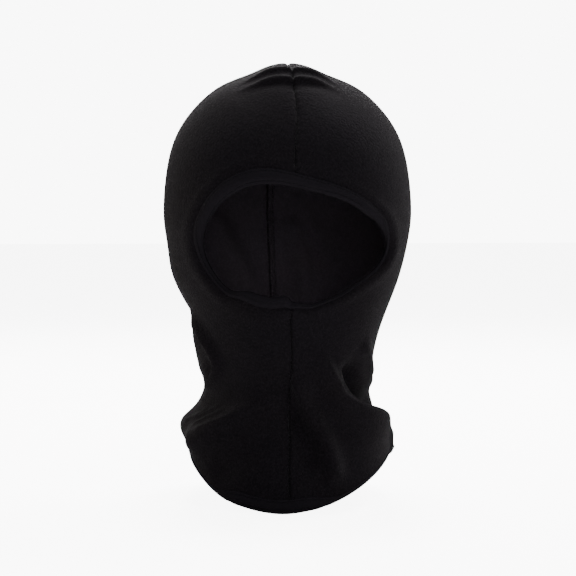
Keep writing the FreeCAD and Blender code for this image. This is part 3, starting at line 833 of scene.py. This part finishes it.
def fleece_material(name, dark, light, pile):
    """Brushed microfleece: curled pile in small pills over finer fibres, nearly black."""
    material, tree, shader = cloth_material(name, 0.95, 0.02, 0.35, 0.03)
    place = add_node(tree, "TexCoord").outputs["Object"]
    warp = add_node(tree, "TexNoise", Vector=place, Scale=900.0, Detail=1.0)
    bent = add_node(tree, "VectorMath", {"operation": "MULTIPLY_ADD"})
    for socket, value in enumerate((warp.outputs["Color"], (0.0009, 0.0009, 0.0009), place)):
        wire(tree, bent, socket, value)
    pills = add_node(tree, "TexVoronoi", {"feature": "SMOOTH_F1"}, Vector=bent.outputs[0], Scale=640.0,
                     Smoothness=0.6)
    fibres = add_node(tree, "TexNoise", Vector=place, Scale=1700.0, Detail=3.0, Roughness=0.7, Distortion=2.0)
    matted = add_node(tree, "TexNoise", Vector=place, Scale=150.0, Detail=3.0, Roughness=0.6)
    cast = add_node(tree, "TexNoise", Vector=place, Scale=16.0, Detail=2.0)
    raised = math_node(tree, "SUBTRACT", 1.0, pills.outputs["Distance"])
    height = math_node(tree, "ADD", raised, math_node(tree, "MULTIPLY", fibres.outputs["Fac"], 0.55))
    height = math_node(tree, "ADD", height, math_node(tree, "MULTIPLY", matted.outputs["Fac"], 0.2))
    bump = add_node(tree, "Bump", Strength=pile, Distance=0.0009, Height=height)
    wire(tree, shader, "Normal", bump.outputs["Normal"])
    # Colour follows the pile's height: painted shade, darker in the hollows between the pills, and painted
    # highlight, lighter on their tips
    spread = math_node(tree, "MULTIPLY", math_node(tree, "SUBTRACT", height, 0.75), 1.3)
    painted_pile_shade = add_node(tree, "Clamp", Value=spread).outputs[0]
    warm = mix_colour(tree, cast.outputs["Fac"], [1.06, 1.0, 0.98, 1], [0.97, 0.97, 1.08, 1])
    tone = mix_colour(tree, painted_pile_shade, (*dark, 1), (*light, 1))
    wire(tree, shader, "Base Color", mix_colour(tree, 1.0, tone, warm, "MULTIPLY"))
    return material


def jersey_material():
    """Fine stretch jersey, smoother and bluer than the fleece, with narrow wales along the tape."""
    material, tree, shader = cloth_material("jersey_knit", 0.9, 0.004, 0.5, 0.02)
    cloth = add_node(tree, "UVMap", {"uv_map": "cloth"}).outputs["UV"]
    place = add_node(tree, "TexCoord").outputs["Object"]
    wales = add_node(tree, "TexWave", {"bands_direction": "Y"}, Vector=cloth, Scale=0.42, Distortion=0.6,
                     Detail=1.0)
    grain = add_node(tree, "TexNoise", Vector=place, Scale=1500.0, Detail=3.0)
    ribs = math_node(tree, "MULTIPLY", wales.outputs["Fac"], 0.4)
    height = math_node(tree, "ADD", ribs, grain.outputs["Fac"])
    bump = add_node(tree, "Bump", Strength=0.35, Distance=0.0003, Height=height)
    wire(tree, shader, "Normal", bump.outputs["Normal"])
    dark, light = (0.0055, 0.0049, 0.0060, 1), (0.0082, 0.0073, 0.0090, 1)
    wire(tree, shader, "Base Color", mix_colour(tree, grain.outputs["Fac"], dark, light))
    return material


def plain_cloth(name, dark, light, scale, roughness=0.7, bump_depth=0.0002, sheen=0.1):
    """A plain material with a fine grain, for threads, elastic and label."""
    material, tree, shader = cloth_material(name, roughness, sheen, 0.4, 0.1)
    place = add_node(tree, "TexCoord").outputs["Object"]
    grain = add_node(tree, "TexNoise", Vector=place, Scale=scale, Detail=3.0)
    bump = add_node(tree, "Bump", Strength=0.5, Distance=bump_depth, Height=grain.outputs["Fac"])
    wire(tree, shader, "Normal", bump.outputs["Normal"])
    wire(tree, shader, "Base Color", mix_colour(tree, grain.outputs["Fac"], dark, light))
    return material


MATERIALS = {
    "fleece": fleece_material("fleece_pile", (0.0046, 0.0041, 0.0047), (0.0080, 0.0071, 0.0082), 0.55),
    "jersey": jersey_material(),
    "elastic": plain_cloth("elastic_braid", (0.01, 0.01, 0.01, 1), (0.05, 0.05, 0.05, 1), 2200.0),
    # Thread for the tapes' stitches, joins and tacks: painted shade, darker than the cloth so that the light
    # on the threads' raised tops is cancelled
    "thread": plain_cloth("sewing_thread_painted_shade", (0.0015, 0.0014, 0.0018, 1), (0.0026, 0.0024, 0.0030, 1), 3000.0,
                          0.9, 0.0001, 0.0),
    "label": plain_cloth("label_satin", (0.35, 0.35, 0.35, 1), (0.55, 0.55, 0.55, 1), 2500.0, 0.5),
}
# Second looks in those slots, both painted light: the fleece's inner face, made several times paler than the
# outer face so that the shaded inside of the hood reads as lit, and the thread of both seams, as pale, so
# that the seams inside don't show as dark lines of shade
FLEECE_BACK_PAINTED_LIGHT = fleece_material("fleece_reverse_painted_light", (0.0385, 0.0340, 0.0387), (0.0495, 0.0440, 0.0498), 0.14)
PALE_THREAD_PAINTED_LIGHT = plain_cloth("seam_thread_painted_light", (0.0340, 0.0301, 0.0342, 1), (0.0440, 0.0392, 0.0442, 1),
                          3000.0, 0.9, 0.0001, 0.0)


# ---------------- the pieces

def make_pieces():
    """Both panels, both tapes, the elastic, and the long rows of thread."""
    panel("left_fleece", 1, "left_panel")
    panel("right_fleece", -1, "right_panel")
    folded, flat = closed_curve(TAPE_SECTION), closed_curve(ELASTIC_SECTION)[::-1]
    ring_piece("face_tape", "jersey", ["face_band"], face_flat, folded, swell=face_swell)
    ring_piece("hem_tape", "jersey", ["hem_band"], hem_flat, folded)
    ring_piece("elastic_ring", "elastic", ["face_elastic"], face_flat, flat)

    edge, inner = ROW_MARGINS
    for part, route, count in (("face", face_flat, 104), ("hem", hem_flat, 162)):
        tape, node = part + "_tape", part + "_band"
        tubes(tape + "_edge_row", stitch_row(route, edge, 0.72, count), [node + "_edge_stitch"])
        tubes(tape + "_inner_row", stitch_row(route, inner, 0.70, count + 14), [node + "_inner_stitch"])
        tubes(tape + "_looper", zigzag_row(route, ROW_MARGINS, -3.1, count), [node + "_looper_thread"])
    for seam, top in (("chin_seam", False), ("crown_seam", True)):
        # Both seams' threads take the pale thread: painted light, so that the seams inside don't read as dark
        # lines of shade
        tubes(seam + "_needle_row", needle_rows(top), [seam + "_needle_thread"], look=PALE_THREAD_PAINTED_LIGHT)
        tubes(seam + "_overlock", overlock(top), [seam + "_overlock_thread"], OVERLOCK_RADIUS, PALE_THREAD_PAINTED_LIGHT)


LABEL_ROWS, LABEL_COLUMNS = 24, 18
LABEL_LOW, LABEL_HIGH = -150.0, -122.0
LABEL_START, LABEL_END = 3.5, 23.5        # how far to the wearer's left of the seam its edges are
BAR_POINTS = 5            # points along each thread of a join
BAR_ARCH = np.sin(np.linspace(0, math.pi, BAR_POINTS))


def back_flat(x, height):
    """Flat places at the back, that far to the wearer's left and at that height."""
    side = x / section(height)[0][..., 0]
    return np.stack([side, np.sqrt(1 - side ** 2)], axis=-1) * (BROW_REACH - height)[..., None]


def make_label():
    """Blank satin label inside the left panel, one corner lifted a little."""
    rows, columns = LABEL_ROWS, LABEL_COLUMNS
    height = np.linspace(LABEL_LOW, LABEL_HIGH, rows)[:, None] * np.ones((1, columns))
    x = np.linspace(LABEL_START, LABEL_END, columns)[None, :] * np.ones((rows, 1))
    flat = back_flat(x, height)
    curl = 1.2 * smooth(LABEL_END - 8, LABEL_END, x) * smooth(LABEL_LOW + 10, LABEL_LOW, height)
    sides = [drape(flat, -FLEECE - depth - curl).reshape(-1, 3) for depth in (0.35, 0.75)]
    front = grid_faces(rows, columns)
    below = rows * columns
    rim = [(0, k) for k in range(columns)] + [(j, columns - 1) for j in range(1, rows)]
    rim += [(rows - 1, k) for k in range(columns - 2, -1, -1)] + [(j, 0) for j in range(rows - 2, 0, -1)]
    ring = [j * columns + k for j, k in rim]
    edge = [(b, a, a + below, b + below) for a, b in zip(ring, ring[1:] + ring[:1])]
    faces = np.vstack([front, front[:, ::-1] + below, np.array(edge)])[:, ::-1]
    new_piece("label_patch", np.vstack(sides), faces, "label", ["care_label"])


def tack_paths():
    """Short threads across the crown tucks, inside."""
    paths = []
    for side in (-1, 1):
        for place in (-54.0, -42.0):
            for x in (5.0, 8.0):
                y = np.linspace(place - 3, place + 3, BAR_POINTS)
                sx, sy = side * x / 90.0, (y - 3.0) / 108.0
                size = np.sqrt(sx ** 2 + sy ** 2)
                reach = np.arcsin(size) * BROW_REACH * 2 / math.pi
                flat = np.stack([sx / size * reach, sy / size * reach], axis=-1)
                paths.append(drape(flat, np.full(BAR_POINTS, -FLEECE - 0.25)))
    return paths


def small_rows():
    """Joins of the tapes and elastic, the label's row and the tacks under the tucks."""
    bottom = FACE_LEVEL - FACE_HEIGHT
    starts = (1.2, 4.4, 7.4)
    bar, same = np.linspace(0, 2.4, BAR_POINTS), np.ones(BAR_POINTS)
    arch = 1.0 + 0.2 * BAR_ARCH
    row = [drape(front_flat(1.5 * same, bottom - (m + bar)), arch) for m in starts]
    tubes("face_tape_join", row, ["face_band_join_stitch"])
    row = [drape(hem_flat((math.pi - 0.02) * same, m + bar), arch) for m in starts]
    tubes("hem_tape_join", row, ["hem_band_join_stitch"])
    across = np.linspace(4, 9, BAR_POINTS)
    row = [drape(front_flat(across, (bottom - m) * same), -0.35 * same) for m in (2.2, 3.8, 5.4)]
    tubes("elastic_join", row, ["elastic_join_stitch"], 0.18)
    column = [drape(back_flat(5.1, -149.0 + number * 3.4 + bar), -FLEECE - 0.85 - 0.1 * BAR_ARCH)
              for number in range(8)]
    tubes("label_row", column, ["care_label_stitch"], 0.22)
    tubes("tuck_tacks", tack_paths(), ["crown_tuck_tacks"])


# ---------------- studio

CAMERA_TARGET = (0.0004, 0.0, -0.05475)
CAMERA_AZIMUTH, CAMERA_ELEVATION, CAMERA_DISTANCE = -4.5, 3.0, 1.5
CAMERA_LENS, CAMERA_SENSOR = 128.6, 36.0
LIGHT_TARGET = (0, 0, -0.04)
LIGHT_DISTANCE = 1.6
WHITE = (1, 1, 1, 1)
SEEN_GLOW, LIT_GLOW = 9.0, 0.06           # the backdrop's strength as the camera sees it, and as light
FLOOR_GLOW = 7.6
FLOOR_HALF, FLOOR_GAP = 6.0, 0.0006       # half the floor's width, and its distance below the hood
# Each light: azimuth and elevation in degrees, size in metres, power in watts, colour
LIGHTS = [
    ("front", 0, 4, 1.0, 14, (0.98, 0.95, 1.0)),
    ("high_front", 20, 54, 0.6, 11, (1.0, 0.98, 1.0)),
    ("low_left", -117, 0, 0.3, 5, (1.0, 0.86, 0.77)),
    ("back_left", -132, 24, 0.6, 8, (1.0, 0.90, 0.82)),
    ("back_right", 130, 42, 0.6, 32, (1.0, 0.95, 0.97)),
    ("back_top", 180, 72, 0.5, 42, (1.0, 0.98, 0.99)),
    ("back_low", 180, 32, 0.5, 26, (1.0, 0.98, 0.99)),
]


def add_facing(thing, target, azimuth, elevation, distance):
    """Adds a camera or lamp facing the target from a direction in degrees, azimuth 0 being the front."""
    azimuth, elevation = math.radians(azimuth), math.radians(elevation)
    towards = Vector((math.sin(azimuth) * math.cos(elevation), -math.cos(azimuth) * math.cos(elevation),
                      math.sin(elevation)))
    thing.location = Vector(target) + towards * distance
    thing.rotation_euler = (-towards).to_track_quat("-Z", "Y").to_euler()
    bpy.context.scene.collection.objects.link(thing)


def camera_and_light():
    """The camera, a backdrop that is bright only to the camera, and the lights."""
    data = bpy.data.cameras.new("camera")
    data.lens, data.sensor_width = CAMERA_LENS, CAMERA_SENSOR
    camera = bpy.data.objects.new("camera", data)
    add_facing(camera, CAMERA_TARGET, CAMERA_AZIMUTH, CAMERA_ELEVATION, CAMERA_DISTANCE)
    bpy.context.scene.camera = camera

    world = bpy.data.worlds.new("studio")
    world.use_nodes = True
    tree = world.node_tree
    seen = add_node(tree, "Background", Color=WHITE, Strength=SEEN_GLOW)
    lit = tree.nodes["Background"]
    wire(tree, lit, "Color", WHITE)
    wire(tree, lit, "Strength", LIT_GLOW)
    rays = add_node(tree, "LightPath")
    both = add_node(tree, "MixShader")
    for socket, value in enumerate((rays.outputs["Is Camera Ray"], lit.outputs[0], seen.outputs[0])):
        wire(tree, both, socket, value)
    wire(tree, tree.nodes["World Output"], "Surface", both.outputs[0])
    bpy.context.scene.world = world

    for name, azimuth, elevation, size, power, colour in LIGHTS:
        light = bpy.data.lights.new(name, "AREA")
        light.size, light.energy, light.color = size, power, colour
        add_facing(bpy.data.objects.new(name, light), LIGHT_TARGET, azimuth, elevation, LIGHT_DISTANCE)


def floor():
    """A wide pale floor. A glow that only the camera sees keeps it as pale as the backdrop."""
    low = min(CAD_BOX[0].z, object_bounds()[0].z) - FLOOR_GAP
    mesh = bpy.data.meshes.new("floor")
    corners = [(-1, -1), (1, -1), (1, 1), (-1, 1)]
    mesh.from_pydata([(x * FLOOR_HALF, y * FLOOR_HALF, low) for x, y in corners], [], [(0, 1, 2, 3)])
    ground = bpy.data.objects.new("floor", mesh)
    material = bpy.data.materials.new("pale_floor")
    material.use_nodes = True
    tree = material.node_tree
    shader = tree.nodes["Principled BSDF"]
    wire(tree, shader, "Base Color", (0.85, 0.85, 0.85, 1))
    wire(tree, shader, "Roughness", 0.9)
    wire(tree, shader, "Emission Color", WHITE)
    rays = add_node(tree, "LightPath")
    glow = math_node(tree, "MULTIPLY", rays.outputs["Is Camera Ray"], FLOOR_GLOW)
    wire(tree, shader, "Emission Strength", glow)
    mesh.materials.append(material)
    bpy.context.scene.collection.objects.link(ground)
    ground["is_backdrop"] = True


make_pieces()
make_label()
small_rows()
camera_and_light()
floor()
